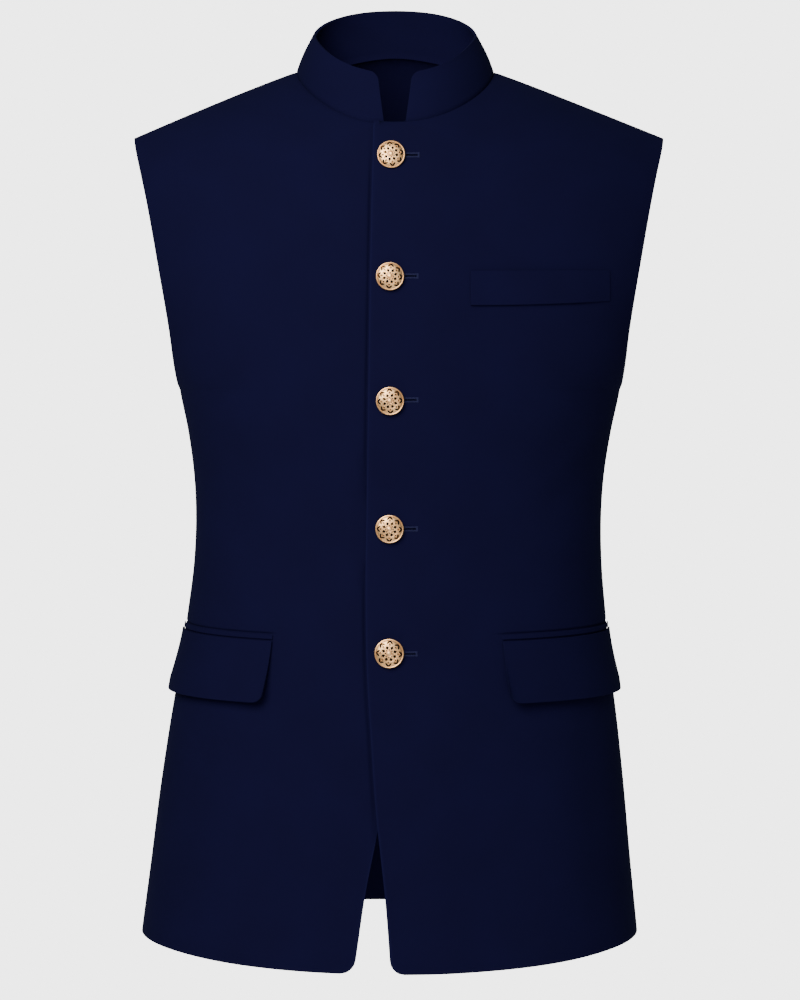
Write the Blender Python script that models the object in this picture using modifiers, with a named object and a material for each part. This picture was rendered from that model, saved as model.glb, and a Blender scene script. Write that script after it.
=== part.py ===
# A sleeveless jacket with a band collar, worn and hollow, in cloth walls.
# +X is the wearer's left, the front faces -Y and +Z is up.
# The origin lies between the two points where the collar meets the shoulder seams.

from typing import NamedTuple

import bmesh
import bpy
import numpy as np
from mathutils import Vector

# Lengths are in millimetres up to this factor, which makes Blender's metres.
MM = 0.001

# Cloth
WALL = 2.0
COLLAR_WALL = 2.5
JET_WALL = 1.5
SEAM_GAP = 0.3
LAP_GAP = 0.9

# Shoulder line: its ends, its drop, and how softly its two halves would meet over the neck
NECK_HALF_WIDTH = 82.0
SHOULDER_HALF_WIDTH = 221.0
SHOULDER_DROP = 55.0
RIDGE_ROUNDING = 60.0

# How soon the chest and the back reach their full depth below the shoulder line
FRONT_FALL = 66.0
BACK_FALL = 60.0
CROWN_POWER = 0.75

# The back's rise to the nape: its height, and how it dies out sideways, forwards and downwards
NAPE_RISE = 35.0
NAPE_HALF_WIDTH = 95.0
NAPE_DEPTH = 20.0
NAPE_DROP = 120.0

# Sections are between an ellipse and a box, and this power says how square
SQUARENESS = 2.4

# Neck seam
NECK_FRONT = 87.0
NECK_BACK = 50.0
NECK_POWER = 0.9

# Armhole
UNDERARM = -265.0
ARMHOLE_TURN = 26.0
ARMHOLE_SOFTNESS = 60.0

# Hem
HEM_AT_SIDE = -719.0
FRONT_DIP = 14.0
DIP_POWER = 2.2
HEM_CORNER = 11.0


class Section(NamedTuple):
    height: float
    half_width: float
    sway: float
    front_depth: float
    back_depth: float


# Level sections from the shoulder to the hem. Down to the underarm, half_width is the armhole's.
SECTIONS = (
    Section(60.0, 226.0, 1.0, 122.0, 102.0),
    Section(0.0, 225.0, 2.0, 122.0, 102.0),
    Section(-55.0, 221.0, 4.0, 122.0, 102.0),
    Section(-85.0, 213.8, 4.1, 122.0, 102.0),
    Section(-116.0, 206.8, 4.2, 122.0, 101.5),
    Section(-166.0, 197.2, 4.2, 122.0, 101.0),
    Section(-215.0, 189.2, 4.2, 122.0, 98.5),
    Section(-265.0, 184.0, 4.1, 121.0, 94.0),
    Section(-300.0, 176.8, 3.9, 119.0, 88.0),
    Section(-340.0, 171.3, 3.4, 115.0, 80.0),
    Section(-372.0, 169.8, 3.0, 113.0, 77.0),
    Section(-410.0, 171.0, 2.4, 113.5, 82.0),
    Section(-450.0, 175.2, 1.4, 116.0, 93.0),
    Section(-500.0, 181.5, 0.0, 119.0, 106.0),
    Section(-550.0, 188.8, -1.2, 122.0, 116.0),
    Section(-600.0, 195.2, -2.4, 125.5, 122.0),
    Section(-660.0, 201.8, -3.6, 129.5, 126.5),
    Section(-719.0, 208.7, -4.6, 133.0, 130.0),
    Section(-745.0, 211.4, -5.0, 134.5, 131.5),
)


class EdgePoint(NamedTuple):
    height: float
    x: float


# The front edges, as distances past the middle towards the panel's own side
OVER_EDGE = (
    EdgePoint(-30.0, -18.0),
    EdgePoint(-53.0, -18.2),
    EdgePoint(-111.0, -19.8),
    EdgePoint(-192.0, -21.5),
    EdgePoint(-272.0, -22.7),
    EdgePoint(-352.0, -23.9),
    EdgePoint(-432.0, -24.7),
    EdgePoint(-488.0, -21.8),
    EdgePoint(-550.0, -17.8),
    EdgePoint(-604.0, -14.2),
    EdgePoint(-674.0, -7.4),
    EdgePoint(-735.0, -3.0),
)
UNDER_EDGE = (
    EdgePoint(-30.0, -16.0),
    EdgePoint(-250.0, -17.0),
    EdgePoint(-420.0, -17.5),
    EdgePoint(-480.0, -10.0),
    EdgePoint(-560.0, 4.0),
    EdgePoint(-623.0, 14.6),
    EdgePoint(-664.0, 22.8),
    EdgePoint(-709.0, 29.5),
    EdgePoint(-735.0, 33.2),
)

# The left front lies over the right one near its edge, and comes down to it between these two x
LAP_FULL_TO = 25.0
LAP_NONE_FROM = 78.0

# Rows and columns of the panels' grids
HEM_CORNER_STEPS = (0.0, 0.25, 0.6, 1.0)
LOWER_ROWS = 19
CHEST_ROWS = 10
NECK_ROWS = 7
FRONT_COLUMNS = 15
BACK_COLUMNS = 13
ARMHOLE_TOP_SHARE = 0.62
ARMHOLE_SPREAD = 1.5

# Collar
COLLAR_TOP_HALF_WIDTH = 68.0
COLLAR_TOP_FRONT = 80.0
COLLAR_TOP_BACK = 45.0
COLLAR_SIDE_HEIGHT = 30.0
COLLAR_FRONT_DROP = 38.0
COLLAR_FRONT_POWER = 1.6
COLLAR_BACK_RISE = 25.0
COLLAR_BACK_POWER = 1.2
COLLAR_ROUNDING = 1.2
COLLAR_LIFT = 1.0
COLLAR_HEIGHT = 38.0
COLLAR_END_LOW = 8.8
COLLAR_END_HIGH = 14.0
COLLAR_CORNER = 6.5
COLLAR_ROWS = (0.0, 0.3, 0.6, 0.83, 0.88, 0.94, 0.98, 1.0)
COLLAR_COLUMNS = 40

# Hip flaps and the jets above them
FLAP_TOP = -467.0
FLAP_BOTTOM = -517.0
FLAP_INNER_X = {"left": 86.5, "right": 99.0}
FLAP_OUTER_TURN = 88.0
FLAP_SLANT = 1.0
FLAP_TOP_RISE = 3.0
FLAP_BOTTOM_RISE = 1.5
FLAP_CORNER = 7.0
FLAP_OFF_TOP = 0.3
FLAP_OFF_BOTTOM = 4.6
FLAP_CORNER_LIFT = 2.4
FLAP_CORNER_REACH = 26.0
FLAP_COLUMNS = 14
FLAP_ROWS = 6
JET_HEIGHT = 5.0

# Breast pocket welt
WELT_INNER_X = 60.0
WELT_OUTER_X = 172.0
WELT_INNER_HEIGHTS = (-196.4, -168.7)
WELT_OUTER_HEIGHTS = (-192.4, -167.5)
WELT_COLUMNS = 10
WELT_ROWS = 3

# Buttons: where they lie, and their profile from the dome's top down
BUTTON_PLACES = ((-3.3, -77.0), (-3.7, -173.2), (-4.0, -272.2), (-4.5, -375.6), (-4.9, -475.6))
BUTTON_RADIUS = 11.25
BUTTON_STAND = 1.6
BUTTON_RIM = 1.5
BUTTON_DOME = 2.6
SHANK_RADIUS = 2.6
BUTTON_SIDES = 24
DOME_STEPS = 5

# Base colour, roughness and metallic value
FINISHES = {
    "navy_cloth": ((0.0052, 0.0080, 0.0300), 0.82, 0.0),
    "gold_metal": ((0.62, 0.41, 0.22), 0.3, 1.0),
}


def through(rows, column):
    # A smooth curve through one column of a table, by height.
    rows = sorted(rows, key=lambda row: row.height)
    heights = np.array([row.height for row in rows])
    values = np.array([getattr(row, column) for row in rows])
    slopes = np.gradient(values, heights)

    def value(height):
        height = np.clip(height, heights[0], heights[-1])
        low = np.clip(np.searchsorted(heights, height) - 1, 0, len(heights) - 2)
        span = heights[low + 1] - heights[low]
        part = (height - heights[low]) / span
        start = (1 + 2 * part) * (1 - part) ** 2 * values[low] + part * (1 - part) ** 2 * span * slopes[low]
        end = part**2 * (3 - 2 * part) * values[low + 1] - part**2 * (1 - part) * span * slopes[low + 1]
        return start + end

    return value


edge_half_width = through(SECTIONS, "half_width")
sway = through(SECTIONS, "sway")
depths = {-1: through(SECTIONS, "front_depth"), 1: through(SECTIONS, "back_depth")}
falls = {-1: FRONT_FALL, 1: BACK_FALL}
over_edge = through(OVER_EDGE, "x")
under_edge = through(UNDER_EDGE, "x")


def eased(part):
    part = np.clip(part, 0.0, 1.0)
    return part * part * (3 - 2 * part)


def blend(start, end, part):
    return start + (end - start) * part


def shoulder_line(x):
    # The shoulder seam's height at a distance from the middle.
    reach = np.hypot([NECK_HALF_WIDTH, SHOULDER_HALF_WIDTH], RIDGE_ROUNDING)
    slope = SHOULDER_DROP / (reach[1] - reach[0])
    return slope * (reach[0] - np.hypot(x, RIDGE_ROUNDING))


def half_width(height):
    # Above the underarm the sections run on past the armhole's edge, which cuts them.
    above = np.maximum(height - UNDERARM, 0.0)
    return edge_half_width(height) + ARMHOLE_TURN * (1 - np.exp(-above / ARMHOLE_SOFTNESS))


def turned(angle):
    # The share of the half width reached at an angle from the middle.
    return np.sign(angle) * np.abs(np.sin(angle)) ** (2 / SQUARENESS)


def turn_at(share):
    share = np.clip(share, -1.0, 1.0)
    return np.sign(share) * np.arcsin(np.abs(share) ** (SQUARENESS / 2))


def cloth_points(side, facing, x, fall):
    # Points of the outer face: side is +1 on the wearer's left, facing is -1 in front and +1 behind,
    # and fall is how far they lie below the shoulder line.
    level = shoulder_line(x) - fall
    share = np.clip(np.abs(x) / half_width(level), 0.0, 1.0)
    crown = (1 - np.exp(-np.maximum(fall, 0.0) / falls[facing])) ** CROWN_POWER
    y = depths[facing](level) * crown * (1 - share**SQUARENESS) ** (1 / SQUARENESS)
    lift = 0.0
    if facing > 0:
        lift = NAPE_RISE * y**2 / (y**2 + NAPE_DEPTH**2)
        lift = lift * np.exp(-((x / NAPE_HALF_WIDTH) ** 2) - (fall / NAPE_DROP) ** 2)
    return np.stack(
        [side * x + sway(level) * share**2, facing * (y + SEAM_GAP / 2), level + lift], axis=-1
    )


def cloth_normal(side, x, fall):
    # The outward normal of a front at one place.
    step = 1.0
    near_x = x + np.array([step, -step, 0.0, 0.0])
    near_fall = fall + np.array([0.0, 0.0, step, -step])
    points = cloth_points(side, -1, near_x, near_fall)
    normal = np.cross(points[0] - points[1], points[2] - points[3])
    normal = normal / np.linalg.norm(normal)
    return -normal if normal[1] > 0 else normal


def neck_seam(angle):
    # x and fall of the neck seam, at an angle from the middle of the front round to the nape.
    facing = np.where(np.cos(angle) >= 0, -1, 1)
    x = NECK_HALF_WIDTH * np.sign(angle) * np.abs(np.sin(angle)) ** NECK_POWER
    reach = np.where(facing < 0, NECK_FRONT, NECK_BACK) * np.abs(np.cos(angle)) ** NECK_POWER
    full = np.where(facing < 0, depths[-1](0.0), depths[1](0.0))
    fall_length = np.where(facing < 0, FRONT_FALL, BACK_FALL)
    share = (1 - (np.abs(x) / half_width(0.0)) ** SQUARENESS) ** (1 / SQUARENESS)
    fall = -fall_length * np.log(1 - (reach / (full * share)) ** (1 / CROWN_POWER))
    return x, fall


def neck_angle_at(share):
    # The angle at which the neck seam reaches this share of its half width.
    return np.sign(share) * np.arcsin(np.abs(share) ** (1 / NECK_POWER))


def normals_of(grid):
    # Unit normals of a grid of points, facing out of the garment.
    across = np.gradient(grid, axis=1)
    up = np.gradient(grid, axis=0)
    normals = np.cross(across, up)
    normals /= np.linalg.norm(normals, axis=2, keepdims=True)
    middle = grid.reshape(-1, 3).mean(axis=0)
    outward = np.sum(normals[:, :, :2].reshape(-1, 2) @ middle[:2])
    return normals if outward > 0 else -normals


def flattened(normals, axis):
    # The same normals turned to lie square to an axis, as where two panels meet.
    normals = normals.copy()
    normals[..., axis] = 0.0
    return normals / np.linalg.norm(normals, axis=-1, keepdims=True)


def hem_height(share, facing):
    dip = FRONT_DIP if facing < 0 else 0.0
    return HEM_AT_SIDE - dip * (1 - np.abs(share) ** DIP_POWER)


def rows_below_underarm(side, facing, edge, parts):
    rows = []
    lower = list(1 - np.linspace(0, 1, LOWER_ROWS))[1:]
    corner = [1 - HEM_CORNER * step / (UNDERARM - HEM_AT_SIDE) for step in HEM_CORNER_STEPS]
    for share_down in corner + [row for row in lower if row < corner[-1]]:
        height = blend(UNDERARM, hem_height(0.0, facing), share_down)
        raised = height - hem_height(0.0, facing)
        rounding = 0.0
        if facing < 0:
            inside = np.clip(HEM_CORNER - raised, 0.0, HEM_CORNER)
            rounding = HEM_CORNER - np.sqrt(HEM_CORNER**2 - inside**2)
        start = turn_at((edge(height) + rounding) / half_width(height))
        angles = blend(start, np.pi / 2, parts)
        shares = turned(angles)
        heights = blend(UNDERARM, hem_height(shares, facing), share_down)
        x = shares * half_width(heights)
        rows.append(cloth_points(side, facing, x, shoulder_line(x) - heights))
    return rows


def rows_above_underarm(side, facing, edge, first_neck_angle, parts):
    # Each row runs from the front edge or the neck seam to the armhole.
    rows = []
    top = CHEST_ROWS + NECK_ROWS
    neck_x, neck_fall = neck_seam(first_neck_angle)
    neck_height = shoulder_line(neck_x) - neck_fall
    for row in range(1, top + 1):
        if row <= CHEST_ROWS:
            share = ARMHOLE_TOP_SHARE * (row / CHEST_ROWS) ** ARMHOLE_SPREAD
            inner_height = blend(UNDERARM, neck_height, row / CHEST_ROWS)
            inner_x = edge(inner_height) if row < CHEST_ROWS else neck_x
            inner_fall = shoulder_line(inner_x) - inner_height
        else:
            part = (row - CHEST_ROWS) / NECK_ROWS
            share = blend(ARMHOLE_TOP_SHARE, 1.0, part)
            inner_x, inner_fall = neck_seam(blend(first_neck_angle, np.pi / 2, part))
        outer_height = blend(UNDERARM, -SHOULDER_DROP, share)
        outer_x = edge_half_width(outer_height)
        outer_fall = np.maximum(shoulder_line(outer_x) - outer_height, 0.0)
        ends = turn_at(
            np.array([inner_x, outer_x])
            / half_width(np.array([shoulder_line(inner_x) - inner_fall, outer_height]))
        )
        reached = turned(blend(ends[0], ends[1], parts))
        reached = (reached - reached[0]) / (reached[-1] - reached[0])
        x = blend(inner_x, outer_x, reached)
        sag = shoulder_line(x) - blend(shoulder_line(inner_x), shoulder_line(outer_x), reached)
        fall = blend(inner_fall, outer_fall, reached) + (1 - eased(row / top)) * sag
        rows.append(cloth_points(side, facing, x, fall))
    return rows


def lap(x):
    # How far the left front stands off the right one.
    ease = eased((x - LAP_FULL_TO) / (LAP_NONE_FROM - LAP_FULL_TO))
    return (WALL + LAP_GAP) * (1 - ease)


def panel_grid(side, facing, edge, first_neck_angle, columns):
    parts = np.linspace(0.0, 1.0, columns)
    lower = rows_below_underarm(side, facing, edge, parts)
    upper = rows_above_underarm(side, facing, edge, first_neck_angle, parts)
    grid = np.array(lower + upper)
    normals = normals_of(grid)
    underarm_row = len(lower) - 1
    normals[: underarm_row + 1, -1] = flattened(normals[: underarm_row + 1, -1], 1)
    normals[-1] = flattened(normals[-1], 1)
    return grid, normals, underarm_row


def wall_mesh(builder, outer, inner, open_rows=0):
    # Two skins and the rim between them; the first column's rim starts above the open rows.
    count = outer.shape[:2]
    skins = []
    for grid in (outer, inner):
        skins.append([[builder.verts.new(Vector(point) * MM) for point in row] for row in grid])
    for skin in skins:
        for i in range(count[0] - 1):
            for j in range(count[1] - 1):
                builder.faces.new((skin[i][j], skin[i][j + 1], skin[i + 1][j + 1], skin[i + 1][j]))
    last_row, last_column = count[0] - 1, count[1] - 1
    rim = [((0, j), (0, j + 1)) for j in range(last_column)]
    rim += [((last_row, j), (last_row, j + 1)) for j in range(last_column)]
    rim += [((i, last_column), (i + 1, last_column)) for i in range(last_row)]
    rim += [((i, 0), (i + 1, 0)) for i in range(open_rows, last_row)]
    for (a, b), (c, d) in rim:
        builder.faces.new((skins[0][a][b], skins[0][c][d], skins[1][c][d], skins[1][a][b]))


def add_object(name, mesh, finish, collection):
    colour, roughness, metallic = FINISHES[finish]
    material = bpy.data.materials.new(f"{name}_{finish}")
    material.use_nodes = True
    shader = material.node_tree.nodes["Principled BSDF"]
    shader.inputs["Base Color"].default_value = (*colour, 1.0)
    shader.inputs["Roughness"].default_value = roughness
    shader.inputs["Metallic"].default_value = metallic
    material.diffuse_color = (*colour, 1.0)
    mesh.materials.append(material)
    made = bpy.data.objects.new(name, mesh)
    collection.objects.link(made)
    return made


def add_walls(name, walls, finish, collection):
    # walls holds an outer grid, an inner grid and the open rows of each wall that the piece is made of.
    builder = bmesh.new()
    for outer, inner, open_rows in walls:
        wall_mesh(builder, outer, inner, open_rows)
    bmesh.ops.remove_doubles(builder, verts=builder.verts, dist=0.01 * MM)
    bmesh.ops.recalc_face_normals(builder, faces=builder.faces)
    mesh = bpy.data.meshes.new(name)
    builder.to_mesh(mesh)
    builder.free()
    mesh.shade_smooth()
    mesh.set_sharp_from_angle(angle=np.radians(40.0))
    return add_object(name, mesh, finish, collection)


def add_front(name, side, edge, stand_off, collection):
    first_angle = neck_angle_at(edge(-NECK_FRONT / 2) / NECK_HALF_WIDTH)
    grid, normals, _ = panel_grid(side, -1, edge, first_angle, FRONT_COLUMNS)
    outer = grid + stand_off(side * grid[..., :1]) * normals
    return add_walls(name, [(outer, outer - WALL * normals, 0)], "navy_cloth", collection)


def add_back(collection):
    walls = []
    middle = through((EdgePoint(HEM_AT_SIDE, 0.0), EdgePoint(0.0, 0.0)), "x")
    for side in (1, -1):
        grid, normals, _ = panel_grid(side, 1, middle, np.pi, BACK_COLUMNS)
        join = grid.shape[0] - 1 - NECK_ROWS
        grid[: join + 1, 0, 0] = 0.0
        normals[: join + 1, 0] = flattened(normals[: join + 1, 0], 0)
        walls.append((grid, grid - WALL * normals, join))
    return add_walls("back", walls, "navy_cloth", collection)


def collar_point(side, angle, part):
    # A point of the collar's outer face, from the neck seam up to the rim.
    behind = np.cos(angle) < 0
    x, fall = neck_seam(angle)
    low = cloth_points(side, 1 if behind else -1, x, fall)
    low = low + np.array([0.0, 0.0, COLLAR_LIFT])
    if side > 0 and not behind:
        low = low + lap(x) * cloth_normal(side, x, fall)
    cosine = abs(np.cos(angle)) ** NECK_POWER
    sine = abs(np.sin(angle)) ** NECK_POWER
    if behind:
        y = COLLAR_TOP_BACK * cosine
        z = COLLAR_SIDE_HEIGHT + COLLAR_BACK_RISE * cosine**COLLAR_BACK_POWER
    else:
        y = -COLLAR_TOP_FRONT * cosine
        z = COLLAR_SIDE_HEIGHT - COLLAR_FRONT_DROP * cosine**COLLAR_FRONT_POWER
    high = np.array([side * COLLAR_TOP_HALF_WIDTH * sine, y, z])
    outward = np.array([side * np.sin(angle), -np.cos(angle), 0.0])
    return blend(low, high, part) + COLLAR_ROUNDING * np.sin(np.pi * part) * outward


def collar_end(part):
    # Half the gap between the collar's ends, with its rounded upper corner.
    into = np.clip(part * COLLAR_HEIGHT - (COLLAR_HEIGHT - COLLAR_CORNER), 0.0, COLLAR_CORNER)
    rounding = COLLAR_CORNER - np.sqrt(COLLAR_CORNER**2 - into**2)
    return blend(COLLAR_END_LOW, COLLAR_END_HIGH, part) + rounding


def add_collar(collection):
    grid = []
    for part in COLLAR_ROWS:
        width = blend(NECK_HALF_WIDTH, COLLAR_TOP_HALF_WIDTH, part)
        end = neck_angle_at(collar_end(part) / width)
        row = []
        for column in range(COLLAR_COLUMNS + 1):
            angle = blend(end, 2 * np.pi - end, column / COLLAR_COLUMNS)
            side = 1 if angle <= np.pi else -1
            row.append(collar_point(side, min(angle, 2 * np.pi - angle), part))
        grid.append(row)
    outer = np.array(grid)
    across = np.gradient(outer, axis=1)
    up = np.gradient(outer, axis=0)
    normals = np.cross(across, up)
    normals /= np.linalg.norm(normals, axis=2, keepdims=True)
    return add_walls("collar", [(outer, outer - COLLAR_WALL * normals, 0)], "navy_cloth", collection)


def patch_on_front(name, side, x, heights, stand_off, wall, collection):
    # A piece that lies on a front: its x and heights are grids, and stand_off lifts it.
    grid = cloth_points(side, -1, x, shoulder_line(x) - heights)
    normals = normals_of(grid)
    inner = grid + stand_off[..., None] * normals
    return add_walls(name, [(inner + wall * normals, inner, 0)], "navy_cloth", collection)


def rounded_ends(distances, length, radius):
    # How much a corner of this radius takes off the edge, at distances along it.
    near = np.minimum(distances, length - distances)
    inside = np.clip(radius - near, 0.0, radius)
    return radius - np.sqrt(radius**2 - inside**2)


def add_flap(name, side, collection):
    start = turn_at(FLAP_INNER_X[name.split("_")[1]] / half_width(FLAP_TOP))
    corner_parts = np.array([0.0, 0.012, 0.03])
    middle_parts = np.linspace(0.065, 0.935, FLAP_COLUMNS)
    parts = np.concatenate([corner_parts, middle_parts, 1 - corner_parts[::-1]])
    angles = blend(start, np.radians(FLAP_OUTER_TURN), parts)
    top = FLAP_TOP + FLAP_TOP_RISE * parts
    ring_x = turned(angles) * half_width(top)
    ring = cloth_points(side, -1, ring_x, shoulder_line(ring_x) - top)
    steps = np.linalg.norm(np.diff(ring, axis=0), axis=1)
    along = np.concatenate([[0.0], np.cumsum(steps)])
    bottom = FLAP_BOTTOM + FLAP_BOTTOM_RISE * parts + rounded_ends(along, along[-1], FLAP_CORNER)
    down = np.linspace(1.0, 0.0, FLAP_ROWS)[:, None]
    heights = blend(top[None, :], bottom[None, :], down)
    inner_slant = FLAP_SLANT * down * (1 - parts)[None, :]
    x = turned(angles)[None, :] * half_width(heights) + inner_slant
    curl = FLAP_CORNER_LIFT * np.exp(-along / FLAP_CORNER_REACH)[None, :] * down**2
    stand_off = blend(FLAP_OFF_TOP, FLAP_OFF_BOTTOM, down**1.5) + curl
    patch_on_front(name, side, x, heights, stand_off, WALL, collection)
    jet_heights = top[None, :] + SEAM_GAP + np.array([0.0, 0.5, 1.0])[:, None] * JET_HEIGHT
    jet_x = turned(angles)[None, :] * half_width(jet_heights)
    jet_off = np.full(jet_x.shape, FLAP_OFF_TOP)
    patch_on_front(name.replace("flap", "jet"), side, jet_x, jet_heights, jet_off, JET_WALL, collection)


def add_welt(collection):
    parts = np.linspace(0.0, 1.0, WELT_COLUMNS + 1)[None, :]
    up = np.linspace(0.0, 1.0, WELT_ROWS + 1)[:, None]
    x = blend(WELT_INNER_X, WELT_OUTER_X, parts) + 0.0 * up
    low = blend(WELT_INNER_HEIGHTS[0], WELT_OUTER_HEIGHTS[0], parts)
    high = blend(WELT_INNER_HEIGHTS[1], WELT_OUTER_HEIGHTS[1], parts)
    stand_off = SEAM_GAP + lap(x)
    patch_on_front("chest_welt", 1, x, blend(low, high, up), stand_off, WALL, collection)


def button_profile():
    # From the dome's top outwards, down the rim and in to the shank's foot.
    points = []
    for step in range(DOME_STEPS + 1):
        angle = np.pi / 2 * step / DOME_STEPS
        height = BUTTON_STAND + BUTTON_RIM + BUTTON_DOME * np.cos(angle)
        points.append((BUTTON_RADIUS * np.sin(angle) ** 0.9, height))
    points.append((BUTTON_RADIUS, BUTTON_STAND + BUTTON_RIM / 3))
    points.append((BUTTON_RADIUS - BUTTON_RIM / 2, BUTTON_STAND))
    points.append((SHANK_RADIUS, BUTTON_STAND))
    points.append((SHANK_RADIUS, 0.0))
    points.append((0.0, 0.0))
    return points


def add_button(name, x, height, collection):
    points = button_profile()
    mesh = bpy.data.meshes.new(name)
    edges = [(i, i + 1) for i in range(len(points) - 1)]
    mesh.from_pydata([(r * MM, 0.0, z * MM) for r, z in points], edges, [])
    made = add_object(name, mesh, "gold_metal", collection)
    screw = made.modifiers.new("Turned", "SCREW")
    screw.axis = "Z"
    screw.steps = BUTTON_SIDES
    screw.render_steps = BUTTON_SIDES
    screw.use_merge_vertices = True
    screw.merge_threshold = 0.01 * MM
    screw.use_smooth_shade = True
    fall = shoulder_line(x) - height
    normal = Vector(cloth_normal(1, x, fall))
    seat = Vector(cloth_points(1, -1, x, fall)) + normal * (lap(x) + SEAM_GAP)
    made.location = seat * MM
    made.rotation_euler = normal.to_track_quat("Z", "Y").to_euler()
    return made


def main():
    for existing in list(bpy.data.objects):
        bpy.data.objects.remove(existing)
    collection = bpy.data.collections.new("nehru_jacket")
    bpy.context.scene.collection.children.link(collection)
    add_front("front_left", 1, over_edge, lap, collection)
    add_front("front_right", -1, under_edge, lambda x: 0.0 * x, collection)
    add_back(collection)
    add_collar(collection)
    add_flap("flap_left", 1, collection)
    add_flap("flap_right", -1, collection)
    add_welt(collection)
    for number, (x, height) in enumerate(BUTTON_PLACES, start=1):
        add_button(f"button_{number}", x, height, collection)


main()
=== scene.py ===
import bmesh
import bpy
import numpy as np
from mathutils import Matrix, Vector


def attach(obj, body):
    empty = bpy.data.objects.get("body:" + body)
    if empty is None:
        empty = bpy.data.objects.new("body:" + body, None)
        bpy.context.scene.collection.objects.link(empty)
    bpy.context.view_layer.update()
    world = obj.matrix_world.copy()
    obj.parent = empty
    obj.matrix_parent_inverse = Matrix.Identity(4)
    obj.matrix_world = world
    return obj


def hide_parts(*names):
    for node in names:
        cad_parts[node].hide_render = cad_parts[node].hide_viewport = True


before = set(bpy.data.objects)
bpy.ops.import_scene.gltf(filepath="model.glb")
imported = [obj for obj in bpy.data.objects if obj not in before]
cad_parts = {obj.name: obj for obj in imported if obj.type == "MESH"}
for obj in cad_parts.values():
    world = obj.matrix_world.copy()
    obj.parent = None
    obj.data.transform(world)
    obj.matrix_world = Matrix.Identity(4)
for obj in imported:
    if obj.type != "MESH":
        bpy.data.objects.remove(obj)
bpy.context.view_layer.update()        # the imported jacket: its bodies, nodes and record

# A sleeveless jacket with a band collar, worn and hollow, in navy wool suiting with pierced gilt buttons.
# Places and sizes are in millimetres until a mesh is made, where this turns them into metres.
mm = 0.001


# The worn form that every cloth piece lies on. Facing is -1 in front and 1 behind.
form = {
    "neckHalfWidth": 82.0,
    "shoulderHalfWidth": 221.0,
    "shoulderDrop": 55.0,
    "ridgeRounding": 60.0,
    "fall": {-1: 66.0, 1: 60.0},
    "crownPower": 0.75,
    "napeRise": 35.0,
    "napeHalfWidth": 95.0,
    "napeDepth": 20.0,
    "napeDrop": 120.0,
    "squareness": 2.4,
    "neckReach": {-1: 87.0, 1: 50.0},
    "neckPower": 0.9,
    "underarm": -265.0,
    "armholeTurn": 26.0,
    "armholeSoftness": 60.0,
    "hemAtSide": -719.0,
    "frontDip": 14.0,
    "dipPower": 2.2,
    "hemCorner": 11.0,
    "seamGap": 0.3,
    "overlap": 0.15,         # how far a front and the back run into each other where they are sewn
    "foldTaper": 0.7,        # the share of its height that a fold loses towards its end
    "foldSeamReach": 14.0,   # folds grow over this length below the shoulder seam
    "foldSidePower": 10,
    "outwardPower": 1.6,
    # height, half width, sway, depth in front, depth behind
    "sections": (
        (60.0, 226.0, 1.0, 122.0, 102.0),
        (0.0, 225.0, 2.0, 122.0, 102.0),
        (-55.0, 221.0, 4.0, 122.0, 102.0),
        (-85.0, 213.8, 4.1, 122.0, 102.0),
        (-116.0, 206.8, 4.2, 122.0, 101.5),
        (-166.0, 197.2, 4.2, 122.0, 101.0),
        (-215.0, 189.2, 4.2, 122.0, 98.5),
        (-265.0, 184.0, 4.1, 121.0, 94.0),
        (-300.0, 176.8, 3.9, 119.0, 88.0),
        (-340.0, 171.3, 3.4, 115.0, 80.0),
        (-372.0, 169.8, 3.0, 113.0, 77.0),
        (-410.0, 171.0, 2.4, 113.5, 82.0),
        (-450.0, 175.2, 1.4, 116.0, 93.0),
        (-500.0, 181.5, 0.0, 119.0, 106.0),
        (-550.0, 188.8, -1.2, 122.0, 116.0),
        (-600.0, 195.2, -2.4, 125.5, 122.0),
        (-660.0, 201.8, -3.6, 129.5, 126.5),
        (-719.0, 208.7, -4.6, 133.0, 130.0),
        (-745.0, 211.4, -5.0, 134.5, 131.5),
    ),
}

# Soft folds, each from one place to another as seen from that side, with its spread and its height.
# The x here is the jacket's own, so a place on the wearer's left is positive in front and behind.
folds = {
    -1: (
        ((181, -258), (128, -326), 17, -1.5),
        ((176, -292), (112, -352), 13, 0.9),
        ((172, -318), (104, -372), 14, -1.0),
        ((-180, -262), (-132, -338), 18, -1.5),
        ((-174, -300), (-118, -366), 13, 0.8),
        ((-168, -352), (-100, -392), 14, -0.9),
        ((166, -384), (96, -398), 15, 0.7),
        ((205, -96), (150, -170), 24, -0.9),
        ((-203, -104), (-156, -186), 24, -0.8),
        ((-160, -408), (-84, -430), 16, 0.6),
        ((164, -560), (176, -716), 15, -1.1),
        ((132, -590), (140, -722), 18, 0.8),
        ((-168, -566), (-178, -714), 16, -1.1),
        ((-128, -604), (-134, -724), 18, 0.8),
        ((88, -640), (92, -726), 20, -0.7),
        ((-84, -652), (-88, -728), 20, -0.6),
    ),
    1: (
        ((176, -262), (96, -330), 18, -2.3),
        ((-174, -268), (-104, -342), 18, -2.2),
        ((166, -318), (78, -372), 14, 1.4),
        ((-164, -326), (-70, -380), 14, 1.4),
        ((150, -362), (42, -396), 15, -1.9),
        ((-146, -372), (-52, -402), 15, -1.8),
        ((120, -398), (-60, -412), 15, 1.3),
        ((104, -428), (18, -436), 14, -1.1),
        ((-118, -424), (-36, -440), 14, -1.1),
        ((196, -130), (170, -236), 18, -1.2),
        ((-196, -136), (-172, -242), 18, -1.1),
        ((-52, -34), (48, -32), 13, -0.9),
        ((120, -540), (132, -700), 20, -1.7),
        ((-116, -552), (-126, -702), 20, -1.6),
        ((62, -580), (66, -706), 22, 0.9),
        ((-58, -590), (-64, -708), 22, 0.8),
    ),
}

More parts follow.
